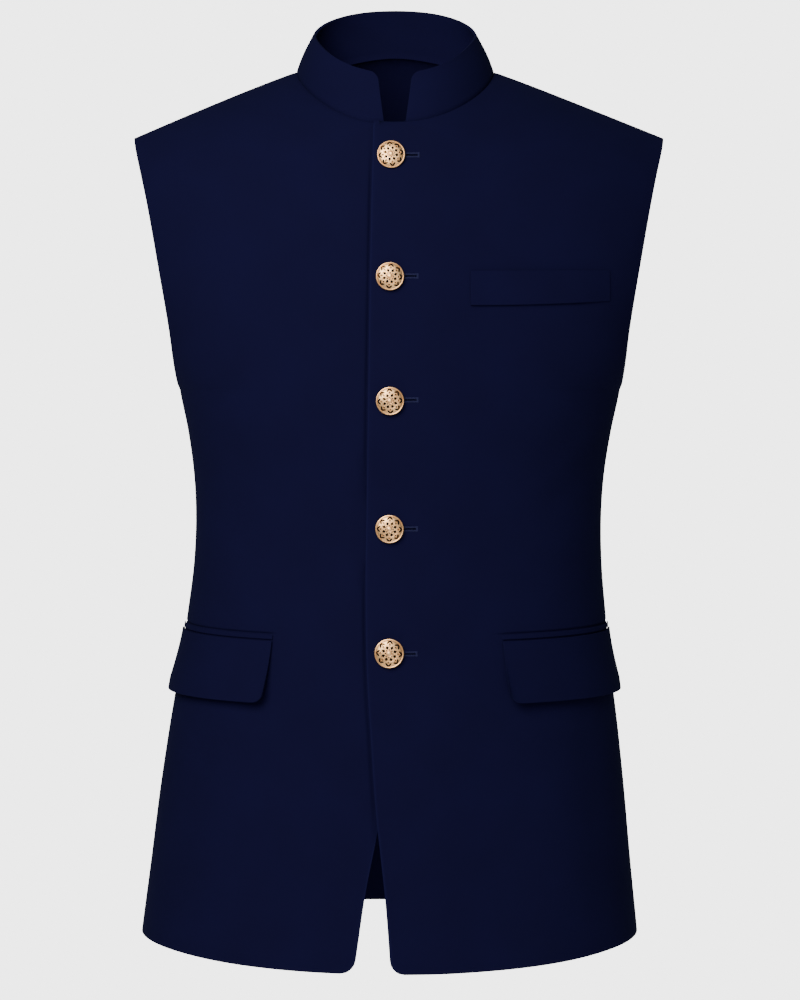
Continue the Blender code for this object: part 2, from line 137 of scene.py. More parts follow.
# The front edges: height, and how far past the middle on the panel's own side
overEdge = (
    (-30.0, -17.0),
    (-53.0, -17.2),
    (-111.0, -18.6),
    (-192.0, -20.1),
    (-272.0, -21.3),
    (-352.0, -22.5),
    (-432.0, -23.4),
    (-488.0, -22.4),
    (-550.0, -18.8),
    (-604.0, -15.0),
    (-674.0, -7.6),
    (-735.0, -3.0),
)
underEdge = (
    (-30.0, -16.0),
    (-250.0, -17.0),
    (-420.0, -17.5),
    (-480.0, -10.0),
    (-560.0, 4.0),
    (-623.0, 14.6),
    (-664.0, 22.8),
    (-709.0, 29.5),
    (-735.0, 33.2),
)


def through(rows, column):
    # A smooth curve through one column of a table, by the height in its first column.
    table = np.array(sorted(rows))
    heights, values = table[:, 0], table[:, column]
    slopes = np.gradient(values, heights)

    def value(height):
        height = np.clip(height, heights[0], heights[-1])
        low = np.clip(np.searchsorted(heights, height) - 1, 0, len(heights) - 2)
        span = heights[low + 1] - heights[low]
        part = (height - heights[low]) / span
        start = (1 + 2 * part) * (1 - part) ** 2 * values[low] + part * (1 - part) ** 2 * span * slopes[low]
        end = part**2 * (3 - 2 * part) * values[low + 1] - part**2 * (1 - part) * span * slopes[low + 1]
        return start + end

    return value


edgeHalfWidth = through(form["sections"], 1)
sway = through(form["sections"], 2)
depth = {-1: through(form["sections"], 3), 1: through(form["sections"], 4)}
overEdgeAt = through(overEdge, 1)
underEdgeAt = through(underEdge, 1)


def eased(part):
    part = np.clip(part, 0.0, 1.0)
    return part * part * (3 - 2 * part)


def blend(start, end, part):
    return start + (end - start) * part


def shoulderLine(x):
    # The shoulder seam's height at a distance from the middle.
    reach = np.hypot([form["neckHalfWidth"], form["shoulderHalfWidth"]], form["ridgeRounding"])
    slope = form["shoulderDrop"] / (reach[1] - reach[0])
    return slope * (reach[0] - np.hypot(x, form["ridgeRounding"]))


def halfWidth(height):
    # Above the underarm the sections run on past the armhole's edge, which cuts them.
    above = np.maximum(height - form["underarm"], 0.0)
    return edgeHalfWidth(height) + form["armholeTurn"] * (1 - np.exp(-above / form["armholeSoftness"]))


def turned(angle):
    # The share of the half width reached at an angle from the middle.
    return np.sign(angle) * np.abs(np.sin(angle)) ** (2 / form["squareness"])


def turnAt(share):
    share = np.clip(share, -1.0, 1.0)
    return np.sign(share) * np.arcsin(np.abs(share) ** (form["squareness"] / 2))


def foldHeight(facing, x, height):
    # How far the folds lift the cloth at a place of its own side.
    lift = np.zeros(np.broadcast(x, height).shape)
    for (x0, z0), (x1, z1), spread, amount in folds[facing]:
        dx, dz = x1 - x0, z1 - z0
        along = np.clip(((x - x0) * dx + (height - z0) * dz) / (dx * dx + dz * dz), 0.0, 1.0)
        off = (x - x0 - along * dx) ** 2 + (height - z0 - along * dz) ** 2
        fade = 1 - form["foldTaper"] * along**2
        lift = lift + amount * fade * np.exp(-off / spread**2)
    return lift


def clothPoints(side, facing, x, fall):
    # Points of the outer face. Side is 1 on the wearer's left, and fall is how far they lie below
    # the shoulder line.
    level = shoulderLine(x) - fall
    share = np.clip(np.abs(x) / halfWidth(level), 0.0, 1.0)
    power = form["squareness"]
    crown = (1 - np.exp(-np.maximum(fall, 0.0) / form["fall"][facing])) ** form["crownPower"]
    y = depth[facing](level) * crown * (1 - share**power) ** (1 / power)
    lift = 0.0
    if facing > 0:
        lift = form["napeRise"] * y**2 / (y**2 + form["napeDepth"] ** 2)
        lift = lift * np.exp(-((x / form["napeHalfWidth"]) ** 2) - (fall / form["napeDrop"]) ** 2)
    # Folds die out at the side and shoulder seams, where two panels meet.
    nearShoulder = np.exp(-np.maximum(fall, 0.0) / form["foldSeamReach"])
    atSeams = (1 - share ** form["foldSidePower"]) * (1 - nearShoulder)
    soft = foldHeight(facing, side * x, level) * atSeams
    sideways = share ** form["outwardPower"]
    outX = side * np.sign(x) * sideways
    outY = facing * np.sqrt(1 - sideways**2)
    return np.stack(
        [
            side * x + sway(level) * share**2 + soft * outX,
            facing * (y - form["overlap"] / 2) + soft * outY,
            level + lift,
        ],
        axis=-1,
    )


def clothNormal(side, x, fall):
    # The way out of a front at one place.
    nearX = x + np.array([1.0, -1.0, 0.0, 0.0])
    nearFall = fall + np.array([0.0, 0.0, 1.0, -1.0])
    points = clothPoints(side, -1, nearX, nearFall)
    normal = np.cross(points[0] - points[1], points[2] - points[3])
    normal = normal / np.linalg.norm(normal)
    return -normal if normal[1] > 0 else normal


def neckSeam(angle):
    # x and fall of the neck seam, at an angle from the middle of the front round to the nape.
    inFront = np.cos(angle) >= 0
    power = form["neckPower"]
    x = form["neckHalfWidth"] * np.sign(angle) * np.abs(np.sin(angle)) ** power
    reach = np.where(inFront, form["neckReach"][-1], form["neckReach"][1]) * np.abs(np.cos(angle)) ** power
    full = np.where(inFront, depth[-1](0.0), depth[1](0.0))
    fallLength = np.where(inFront, form["fall"][-1], form["fall"][1])
    share = (1 - (np.abs(x) / halfWidth(0.0)) ** form["squareness"]) ** (1 / form["squareness"])
    fall = -fallLength * np.log(1 - (reach / (full * share)) ** (1 / form["crownPower"]))
    return x, fall


def neckAngleAt(share):
    return np.sign(share) * np.arcsin(np.abs(share) ** (1 / form["neckPower"]))


def normalsOf(grid):
    across = np.gradient(grid, axis=1)
    up = np.gradient(grid, axis=0)
    normals = np.cross(across, up)
    normals /= np.linalg.norm(normals, axis=2, keepdims=True)
    middle = grid.reshape(-1, 3).mean(axis=0)
    outward = np.sum(normals[:, :, :2].reshape(-1, 2) @ middle[:2])
    return normals if outward > 0 else -normals


def flattened(normals, axis):
    # The same normals turned square to an axis, as where two panels meet.
    normals = normals.copy()
    normals[..., axis] = 0.0
    return normals / np.linalg.norm(normals, axis=-1, keepdims=True)


def hemHeight(share, facing):
    dip = form["frontDip"] if facing < 0 else 0.0
    return form["hemAtSide"] - dip * (1 - np.abs(share) ** form["dipPower"])


# Steps across and up a panel: close together at its edges, 4 to 5 mm apart elsewhere
panel = {
    "wall": 2.0,
    "columns": 50,
    "lowerRows": 106,
    "chestRows": 46,
    "neckRows": 26,
    "closeSteps": (0.0, 0.0045, 0.0125),
    "evenFrom": 0.028,
    "standColumns": (0.012, 0.1, 45),        # from, to and count of the close columns beside the lap
    "leastStep": 0.001,
    "hemClear": 0.004,
    "jetClear": 0.0008,
    "lastNeckRows": (0.985, 1.0),
    "hemSteps": (0.0, 0.08, 0.2, 0.4, 0.65, 1.0),
    "armholeTopShare": 0.62,
    "armholeSpread": 1.5,
    "chestPart": 10 / 17,                    # the share of the rows above the underarm below the neck seam
    "rim": 0.75,
    "lapGap": 0.9,
    "lapFullTo": 25.0,
    "lapNoneFrom": 78.0,
    "seamDip": 0.55,
    "seamReach": 2.6,
    "neckDip": 1.0,
    "neckReach": 2.2,
    "seamFadeRows": 5,
    "jetRows": (0.4128, 0.4362, 0.0012),     # from, to and step of the close rows over the jets
    # the painted highlight reaches this far in from a pressed edge
    "paintedSheenReach": 1.9,
    "lapGroove": 1.6,
    "lapGrooveWidth": 1.7,
    "lapGrooveTop": -50.0,
    "lapGrooveEase": 60.0,
}


def spread(close, first, count):
    # Steps from 0 to 1: the close ones at both ends, and even ones between.
    close = np.array(close)
    return np.concatenate([close, np.linspace(first, 1 - first, count), 1 - close[::-1]])


def closeToEnds(count):
    return spread(panel["closeSteps"], panel["evenFrom"], count)


def withExtra(parts, extra):
    # The extra steps take the place of those that lie too close to them.
    kept = [part for part in parts if all(abs(part - other) > panel["leastStep"] for other in extra)]
    return np.array(sorted(kept + list(extra)))


def rowsBelowUnderarm(side, facing, edge, parts):
    rows = []
    top, bottom = form["underarm"], form["hemAtSide"]
    corner = [1 - form["hemCorner"] * step / (top - bottom) for step in panel["hemSteps"]]
    lower = 1 - np.linspace(0, 1, panel["lowerRows"])[1:]
    lower = [row for row in lower if row < corner[-1] - panel["hemClear"]]
    if facing < 0:
        close = np.arange(*panel["jetRows"])
        lower = [row for row in lower if np.min(np.abs(close - row)) > panel["jetClear"]]
        lower = sorted(lower + list(close), reverse=True)
    for down in corner + lower:
        height = blend(top, hemHeight(0.0, facing), down)
        raised = height - hemHeight(0.0, facing)
        rounding = 0.0
        if facing < 0:
            inside = np.clip(form["hemCorner"] - raised, 0.0, form["hemCorner"])
            rounding = form["hemCorner"] - np.sqrt(form["hemCorner"] ** 2 - inside**2)
        start = turnAt((edge(height) + rounding) / halfWidth(height))
        shares = turned(blend(start, np.pi / 2, parts))
        heights = blend(top, hemHeight(shares, facing), down)
        x = shares * halfWidth(heights)
        rows.append(clothPoints(side, facing, x, shoulderLine(x) - heights))
    return rows


def rowsAboveUnderarm(side, facing, edge, firstAngle, parts):
    # Each row runs from the front edge or the neck seam to the armhole.
    rows = []
    topShare = panel["armholeTopShare"]
    neckX, neckFall = neckSeam(firstAngle)
    neckHeight = shoulderLine(neckX) - neckFall
    chest = np.linspace(0.0, 1.0, panel["chestRows"] + 1)[1:]
    neck = np.linspace(0.0, 1.0, panel["neckRows"] + 1)[1:-1]
    neck = np.concatenate([neck, panel["lastNeckRows"]])
    for step in list(chest) + list(1 + neck):
        if step <= 1:
            share = topShare * step ** panel["armholeSpread"]
            innerHeight = blend(form["underarm"], neckHeight, step)
            innerX = edge(innerHeight) if step < 1 else neckX
            innerFall = shoulderLine(innerX) - innerHeight
            progress = step * panel["chestPart"]
        else:
            share = blend(topShare, 1.0, step - 1)
            innerX, innerFall = neckSeam(blend(firstAngle, np.pi / 2, step - 1))
            progress = blend(panel["chestPart"], 1.0, step - 1)
        outerHeight = blend(form["underarm"], -form["shoulderDrop"], share)
        outerX = edgeHalfWidth(outerHeight)
        outerFall = np.maximum(shoulderLine(outerX) - outerHeight, 0.0)
        innerLevel = shoulderLine(innerX) - innerFall
        ends = turnAt(np.array([innerX, outerX]) / halfWidth(np.array([innerLevel, outerHeight])))
        reached = turned(blend(ends[0], ends[1], parts))
        reached = (reached - reached[0]) / (reached[-1] - reached[0])
        x = blend(innerX, outerX, reached)
        sag = shoulderLine(x) - blend(shoulderLine(innerX), shoulderLine(outerX), reached)
        fall = blend(innerFall, outerFall, reached) + (1 - eased(progress)) * sag
        rows.append(clothPoints(side, facing, x, fall))
    return rows


def lap(x):
    # How far the left front stands off the right one.
    ease = eased((x - panel["lapFullTo"]) / (panel["lapNoneFrom"] - panel["lapFullTo"]))
    return (panel["wall"] + panel["lapGap"]) * (1 - ease)


def panelGrid(side, facing, edge, firstAngle, extra=()):
    parts = withExtra(closeToEnds(panel["columns"]), extra)
    lower = rowsBelowUnderarm(side, facing, edge, parts)
    upper = rowsAboveUnderarm(side, facing, edge, firstAngle, parts)
    grid = np.array(lower + upper)
    normals = normalsOf(grid)
    underarmRow = len(lower) - 1
    normals[: underarmRow + 1, -1] = flattened(normals[: underarmRow + 1, -1], 1)
    normals[-1] = flattened(normals[-1], 1)
    # The cloth is pressed in where it is sewn: along the side, shoulder and neck seams.
    fromSide = np.linalg.norm(grid - grid[:, -1:], axis=2)
    fromShoulder = np.linalg.norm(grid - grid[-1:], axis=2)
    sideSeam = np.exp(-fromSide / panel["seamReach"])
    rowsAbove = np.arange(len(grid) - underarmRow)
    sideSeam[underarmRow:] *= np.clip(1 - rowsAbove / panel["seamFadeRows"], 0, 1)[:, None]
    dip = panel["seamDip"] * np.maximum(sideSeam, np.exp(-fromShoulder / panel["seamReach"]))
    neckRow = underarmRow + panel["chestRows"]
    fromNeck = np.linalg.norm(grid[neckRow:] - grid[neckRow:, :1], axis=2)
    dip[neckRow:] = np.maximum(dip[neckRow:], panel["neckDip"] * np.exp(-fromNeck / panel["neckReach"]))
    return grid - dip[..., None] * normals, normals


def distances(grid):
    # How far each point lies along its row, and up its column.
    across = np.linalg.norm(np.diff(grid, axis=1), axis=2)
    across = np.concatenate([np.zeros((len(grid), 1)), np.cumsum(across, axis=1)], axis=1)
    up = np.linalg.norm(np.diff(grid, axis=0), axis=2)
    up = np.concatenate([np.zeros((1, grid.shape[1])), np.cumsum(up, axis=0)], axis=0)
    return across, up


def clothMap(grid, firstX):
    # Where each point lies on the flat cloth, in metres.
    across, up = distances(grid)
    return np.stack([across + firstX, up], axis=-1) * mm


def paintedSheenShare(grid, edges):
    # How near each point is to the pressed edges, where a highlight is painted on: 1 on them, down to 0 a
    # little way in.
    across, up = distances(grid)
    away = {"first": across, "last": across[:, -1:] - across, "bottom": up, "top": up[-1:] - up}
    share = np.zeros(grid.shape[:2])
    for edge in edges:
        share = np.maximum(share, np.clip(1 - away[edge] / panel["paintedSheenReach"], 0.0, 1.0))
    return share


def wallMesh(builder, outer, inner, flat, pressed, openRows=0):
    # Two skins and the rim between them. The first column's rim starts above the open rows.
    clothLayer, paintedSheenLayer = builder.loops.layers.uv["cloth"], builder.loops.layers.uv["pressed"]
    rows, columns = outer.shape[:2]
    places = {}
    skins = []
    for grid in (outer, inner):
        skin = [[builder.verts.new(Vector(point) * mm) for point in row] for row in grid]
        for i in range(rows):
            for j in range(columns):
                places[skin[i][j]] = (flat[i, j], (pressed[i, j], 0.0))
        skins.append(skin)
    faces = []
    for skin in skins:
        for i in range(rows - 1):
            for j in range(columns - 1):
                faces.append((skin[i][j], skin[i][j + 1], skin[i + 1][j + 1], skin[i + 1][j]))
    rim = [((i, j), (i, j + 1)) for i in (0, rows - 1) for j in range(columns - 1)]
    rim += [((i, columns - 1), (i + 1, columns - 1)) for i in range(rows - 1)]
    rim += [((i, 0), (i + 1, 0)) for i in range(openRows, rows - 1)]
    for (a, b), (c, d) in rim:
        faces.append((skins[0][a][b], skins[0][c][d], skins[1][c][d], skins[1][a][b]))
    for corners in faces:
        face = builder.faces.new(corners)
        for loop in face.loops:
            loop[clothLayer].uv, loop[paintedSheenLayer].uv = places[loop.vert]


def selectOnly(piece):
    bpy.ops.object.select_all(action="DESELECT")
    piece.select_set(True)
    bpy.context.view_layer.objects.active = piece


def roundEdges(piece, width, angle=50.0, segments=3):
    bevel = piece.modifiers.new("edges", "BEVEL")
    bevel.width = width * mm
    bevel.segments = segments
    bevel.limit_method = "ANGLE"
    bevel.angle_limit = np.radians(angle)
    selectOnly(piece)
    bpy.ops.object.modifier_apply(modifier=bevel.name)
    bpy.ops.object.shade_smooth()


def clothPiece(name, walls, material, rim):
    # walls holds, for each wall, its outer and inner grid, its flat places, how near each point is to
    # a pressed edge that gets a painted highlight, and its open rows.
    builder = bmesh.new()
    builder.loops.layers.uv.new("cloth")
    builder.loops.layers.uv.new("pressed")
    for outer, inner, flat, pressed, openRows in walls:
        wallMesh(builder, outer, inner, flat, pressed, openRows)
    bmesh.ops.remove_doubles(builder, verts=builder.verts, dist=0.01 * mm)
    bmesh.ops.recalc_face_normals(builder, faces=builder.faces)
    mesh = bpy.data.meshes.new(name)
    builder.to_mesh(mesh)
    builder.free()
    mesh.materials.append(material)
    piece = bpy.data.objects.new(name, mesh)
    bpy.context.scene.collection.objects.link(piece)
    roundEdges(piece, rim)
    return piece


def layers(outer, wall, normals, firstX, edges=()):
    return (outer, outer - wall * normals, clothMap(outer, firstX), paintedSheenShare(outer, edges), 0)


# Materials

def colour(hexColour):
    # An sRGB hex colour as linear red, green, blue and alpha.
    parts = [int(hexColour[i : i + 2], 16) / 255 for i in (1, 3, 5)]
    return (*[p / 12.92 if p <= 0.04045 else ((p + 0.055) / 1.055) ** 2.4 for p in parts], 1.0)


def addNode(tree, kind, options=None, values=None, links=None):
    node = tree.nodes.new(kind)
    for name, value in (options or {}).items():
        setattr(node, name, value)
    for name, value in (values or {}).items():
        node.inputs[name].default_value = value
    for name, source in (links or {}).items():
        tree.links.new(source, node.inputs[name])
    return node


def startMaterial(name, values):
    material = bpy.data.materials.new(name)
    material.use_nodes = True
    shader = material.node_tree.nodes["Principled BSDF"]
    for socket, value in values.items():
        shader.inputs[socket].default_value = value
    return material, material.node_tree, shader


suiting = {
    "dark": "#0b0921",
    "light": "#100e31",
    "twillMm": 1.1,        # real twill lines are about 0.5 mm apart, drawn coarser so that they show
    "fibreMm": 0.7,
    "patchMm": 55.0,
    "pressed": "#111031",  # painted highlight along the pressed edges: a lighter navy in place of the light they catch
}


def makeSuiting():
    # Wool-blend suiting, woven in a fine twill and brushed to a slight nap: matt, deep, with no shine, but
    # for a highlight painted along its pressed edges.
    material, tree, shader = startMaterial("navyWoolSuiting", {
        "Roughness": 0.9,
        "IOR": 1.45,
        "Specular IOR Level": 0.05,
        "Sheen Weight": 0.02,
        "Sheen Roughness": 0.55,
        "Sheen Tint": colour("#5a66a8"),
    })
    place = addNode(tree, "ShaderNodeUVMap", {"uv_map": "cloth"})
    inMm = addNode(tree, "ShaderNodeMapping", values={"Scale": (1000.0, -1000.0, 1000.0)},
                   links={"Vector": place.outputs["UV"]})
    twill = addNode(tree, "ShaderNodeTexWave", {"bands_direction": "DIAGONAL"},
                    {"Scale": 0.444 / suiting["twillMm"], "Distortion": 0.6, "Detail": 1.0,
                     "Detail Scale": 2.0},
                    {"Vector": inMm.outputs["Vector"]})
    fibre = addNode(tree, "ShaderNodeTexNoise", values={"Scale": 1 / suiting["fibreMm"], "Detail": 3.0},
                    links={"Vector": inMm.outputs["Vector"]})
    patch = addNode(tree, "ShaderNodeTexNoise", values={"Scale": 1 / suiting["patchMm"], "Detail": 2.0},
                    links={"Vector": inMm.outputs["Vector"]})
    threads = addNode(tree, "ShaderNodeMix", {"data_type": "FLOAT"}, {"Factor": 0.45},
                      {2: twill.outputs["Fac"], 3: fibre.outputs["Fac"]})
    worn = addNode(tree, "ShaderNodeMix", {"data_type": "FLOAT"}, {"Factor": 0.2},
                   {2: threads.outputs[0], 3: patch.outputs["Fac"]})
    tone = addNode(tree, "ShaderNodeMapRange", values={"From Min": 0.25, "From Max": 0.75},
                   links={"Value": worn.outputs[0]})
    shade = addNode(tree, "ShaderNodeMix", {"data_type": "RGBA"},
                    {6: colour(suiting["dark"]), 7: colour(suiting["light"])},
                    {"Factor": tone.outputs["Result"]})
    # Painted highlight: near the pressed edges the colour is mixed towards a lighter navy, in place of the
    # light they catch.
    paintedSheenMap = addNode(tree, "ShaderNodeUVMap", {"uv_map": "pressed"})
    paintedSheenPart = addNode(tree, "ShaderNodeSeparateXYZ", links={"Vector": paintedSheenMap.outputs["UV"]})
    withPaintedSheen = addNode(tree, "ShaderNodeMix", {"data_type": "RGBA"}, {7: colour(suiting["pressed"])},
                    {"Factor": paintedSheenPart.outputs["X"], 6: shade.outputs[2]})
    tree.links.new(withPaintedSheen.outputs[2], shader.inputs["Base Color"])
    bump = addNode(tree, "ShaderNodeBump", values={"Strength": 0.35, "Distance": 0.12 * mm},
                   links={"Height": threads.outputs[0]})
    tree.links.new(bump.outputs["Normal"], shader.inputs["Normal"])
    return material


# The two tones of the other finishes and of the painted shade in the piercing, and the size of their clouds
# in millimetres
tones = {
    "thread": ("#191937", "#232448", 0.3),
    "gilt": ("#ffb974", "#ffd59e", 5.0),
    "piercingShade": ("#080301", "#120703", 1.5),
}


def mottled(tree, shader, dark, light, size):
    # Lays soft clouds of two tones over the surface, and gives the place that other patterns use.
    place = addNode(tree, "ShaderNodeTexCoord")
    cloud = addNode(tree, "ShaderNodeTexNoise", values={"Scale": 1 / (size * mm), "Detail": 2.0},
                    links={"Vector": place.outputs["Object"]})
    shade = addNode(tree, "ShaderNodeMix", {"data_type": "RGBA"}, {6: colour(dark), 7: colour(light)},
                    {"Factor": cloud.outputs["Fac"]})
    tree.links.new(shade.outputs[2], shader.inputs["Base Color"])
    return place


def makeThread():
    # Polyester buttonhole twist: a tone lighter than the cloth, with a low silky gloss.
    material, tree, shader = startMaterial("navyButtonholeTwist", {
        "Roughness": 0.65,
        "Specular IOR Level": 0.08,
        "Sheen Weight": 0.03,
    })
    mottled(tree, shader, *tones["thread"])
    return material


def makeGilt():
    # Brass, cast, pierced and plated in pale rose gold: bright, with a soft cast grain.
    material, tree, shader = startMaterial("paleGiltBrass", {"Metallic": 1.0})
    place = mottled(tree, shader, *tones["gilt"])
    grain = addNode(tree, "ShaderNodeTexNoise", values={"Scale": 1 / (0.35 * mm), "Detail": 3.0},
                    links={"Vector": place.outputs["Object"]})
    rough = addNode(tree, "ShaderNodeMapRange", values={"To Min": 0.34, "To Max": 0.46},
                    links={"Value": grain.outputs["Fac"]})
    tree.links.new(rough.outputs["Result"], shader.inputs["Roughness"])
    bump = addNode(tree, "ShaderNodeBump", values={"Strength": 0.15, "Distance": 0.05 * mm},
                   links={"Height": grain.outputs["Fac"]})
    tree.links.new(bump.outputs["Normal"], shader.inputs["Normal"])
    return material


def makePiercingShade():
    # Painted shade behind the piercing and on its walls: nearly black, in two brown tones laid at random.
    material, tree, shader = startMaterial("paintedPiercingShade", {
        "Metallic": 0.0,
        "Roughness": 0.8,
        "Specular IOR Level": 0.1,
    })
    mottled(tree, shader, *tones["piercingShade"])
    return material


cloth = makeSuiting()
thread = makeThread()
gilt = makeGilt()
piercingShade = makePiercingShade()
print("materials made")


# Panels

def makeFront(name, side, edge, standOff, extra=()):
    firstAngle = neckAngleAt(edge(-form["neckReach"][-1] / 2) / form["neckHalfWidth"])
    grid, normals = panelGrid(side, -1, edge, firstAngle, extra)
    outer = grid + standOff(grid) * normals
    firstX = side * outer[:, :1, 0]
    outer, inner, flat, pressed, openRows = layers(outer, panel["wall"], normals, firstX, ("first",))
    # The painted highlight stops where the first column follows the neck seam.
    pressed[-panel["neckRows"] - 2 :] = 0.0
    return clothPiece(name, [(outer, inner, flat, pressed, openRows)], cloth, panel["rim"])


flap = {
    "wall": 2.0,
    "top": -467.0,
    "bottom": -517.0,
    "innerX": {1: 86.5, -1: 99.0},
    "outerTurn": 88.0,
    "slant": 1.0,
    "topRise": 3.0,
    "bottomRise": 1.5,
    "corner": 9.0,
    "offTop": 0.3,
    "offBottom": 4.6,
    "cornerLift": 4.2,
    "cornerReach": 22.0,
    "liftPower": 1.5,        # how late the flap leaves the front on its way down
    "columns": ((0.0, 0.004, 0.012, 0.025, 0.042), 0.065, 30),     # close steps, first even one, count
    "rows": ((0.0, 0.025), 0.06, 15),
    "jetFrom": 1.3,
    "jetTo": 5.0,
    "jetWall": 1.0,
    "jetRows": 5,
    "jetRim": 0.6,
    "jetGroove": 1.2,
    "jetGrooveWidth": 0.85,
    "jetGrooveLead": 2.0,    # the groove starts this far before the flap's inner end
    "jetGrooveEase": 3.0,
    "rim": 0.8,
}


def aboveJet(side, grid):
    # A front is pressed in along the seam over its jet.
    height, own = grid[..., 2:], side * grid[..., :1]
    start = turnAt(flap["innerX"][side] / halfWidth(flap["top"]))
    part = (turnAt(own / halfWidth(height)) - start) / (np.radians(flap["outerTurn"]) - start)
    line = flap["top"] + flap["topRise"] * part + flap["jetTo"] + flap["jetGrooveWidth"]
    inside = eased((own - flap["innerX"][side] + flap["jetGrooveLead"]) / flap["jetGrooveEase"])
    return -flap["jetGroove"] * inside * np.exp(-(((height - line) / flap["jetGrooveWidth"]) ** 2))


def besideLap(grid):
    # The right front is pressed in along the left front's edge.
    away = grid[..., :1] - overEdgeAt(grid[..., 2:]) + panel["lapGrooveWidth"] / 2
    below = eased((panel["lapGrooveTop"] - grid[..., 2:]) / panel["lapGrooveEase"])
    return -panel["lapGroove"] * below * np.exp(-((away / panel["lapGrooveWidth"]) ** 2))


def makeBack():
    walls = []
    for side in (1, -1):
        grid, normals = panelGrid(side, 1, lambda height: 0.0 * height, np.pi)
        join = int(np.argmax(np.abs(grid[:, 0, 0]) > 0.5)) - 1
        grid[: join + 1, 0, 0] = 0.0
        normals[: join + 1, 0] = flattened(normals[: join + 1, 0], 0)
        outer, inner, flat, pressed, _ = layers(grid, panel["wall"], normals, np.abs(grid[:, :1, 0]))
        flat[..., 0] *= side
        walls.append((outer, inner, flat, pressed, join))
    return clothPiece("backPanel", walls, cloth, panel["rim"])


frontLeft = makeFront("frontLeft", 1, overEdgeAt, lambda grid: lap(grid[..., :1]) + aboveJet(1, grid))
frontRight = makeFront("frontRight", -1, underEdgeAt, lambda grid: besideLap(grid) + aboveJet(-1, grid),
                       np.linspace(*panel["standColumns"]))
backPanel = makeBack()
print("panels made")


collar = {
    "wall": 2.5,
    "topHalfWidth": 68.0,
    "topReach": {-1: 80.0, 1: 45.0},
    "sideHeight": 30.0,
    "frontDrop": 38.0,
    "frontPower": 1.6,
    "backRise": 25.0,
    "backPower": 1.2,
    "rounding": 1.2,
    "lift": 0.4,
    "tucks": ((0.9, 2.6), (0.5, 0.9)),     # how far in and down, from the lowest row up
    "height": 38.0,
    "endLow": 8.8,
    "endHigh": 14.0,
    "corner": 6.5,
    "columns": 170,
    "straightRows": 11,
    "cornerRows": 8,
    "rim": 0.9,
}


def collarPoint(side, angle, part):
    # A point of the collar's outer face, from the neck seam up to the rim.
    behind = np.cos(angle) < 0
    x, fall = neckSeam(angle)
    low = clothPoints(side, 1 if behind else -1, x, fall) + np.array([0.0, 0.0, collar["lift"]])
    if side > 0 and not behind:
        low = low + lap(x) * clothNormal(side, x, fall)
    cosine = abs(np.cos(angle)) ** form["neckPower"]
    sine = abs(np.sin(angle)) ** form["neckPower"]
    if behind:
        y = collar["topReach"][1] * cosine
        z = collar["sideHeight"] + collar["backRise"] * cosine ** collar["backPower"]
    else:
        y = -collar["topReach"][-1] * cosine
        z = collar["sideHeight"] - collar["frontDrop"] * cosine ** collar["frontPower"]
    high = np.array([side * collar["topHalfWidth"] * sine, y, z])
    outward = np.array([side * np.sin(angle), -np.cos(angle), 0.0])
    return blend(low, high, part) + collar["rounding"] * np.sin(np.pi * part) * outward


def collarEnd(part):
    # Half the gap between the collar's ends, with its rounded upper corner.
    height, corner = collar["height"], collar["corner"]
    into = np.clip(part * height - (height - corner), 0.0, corner)
    rounding = corner - np.sqrt(corner**2 - into**2)
    return blend(collar["endLow"], collar["endHigh"], part) + rounding


def makeCollar():
    rounded = collar["corner"] / collar["height"]
    straight = np.linspace(0.0, 1 - rounded, collar["straightRows"])
    curved = 1 - rounded * (1 - np.sin(np.linspace(0, np.pi / 2, collar["cornerRows"])))
    grid = []
    for part in np.concatenate([straight, curved[1:]]):
        width = blend(form["neckHalfWidth"], collar["topHalfWidth"], part)
        end = neckAngleAt(collarEnd(part) / width)
        row = []
        for column in closeToEnds(collar["columns"]):
            angle = blend(end, 2 * np.pi - end, column)
            side = 1 if angle <= np.pi else -1
            row.append(collarPoint(side, min(angle, 2 * np.pi - angle), part))
        grid.append(row)
    outer = np.array(grid)
    normals = np.cross(np.gradient(outer, axis=1), np.gradient(outer, axis=0))
    normals /= np.linalg.norm(normals, axis=2, keepdims=True)
    # The lower edge is turned in behind the neck seam, so that no light comes through it.
    tucks = [outer[0] - inward * normals[0] - np.array([0.0, 0.0, down])
             for inward, down in collar["tucks"]]
    outer = np.concatenate([np.array(tucks), outer])
    normals = np.concatenate([np.repeat(normals[:1], len(tucks), axis=0), normals])
    return clothPiece("bandCollar", [layers(outer, collar["wall"], normals, 0.0)], cloth, collar["rim"])


bandCollar = makeCollar()
print("collar made")


def patchOnFront(name, side, x, heights, standOff, wall, rim):
    # A piece that lies on a front: its x and heights are grids, and standOff lifts it.
    grid = clothPoints(side, -1, x, shoulderLine(x) - heights)
    normals = normalsOf(grid)
    outer = grid + (standOff + wall)[..., None] * normals
    return clothPiece(name, [layers(outer, wall, normals, np.abs(x[:, :1]))], cloth, rim)


def roundedEnds(along, length, radius):
    # How much a corner of this radius takes off the edge, at distances along it.
    near = np.minimum(along, length - along)
    inside = np.clip(radius - near, 0.0, radius)
    return radius - np.sqrt(radius**2 - inside**2)


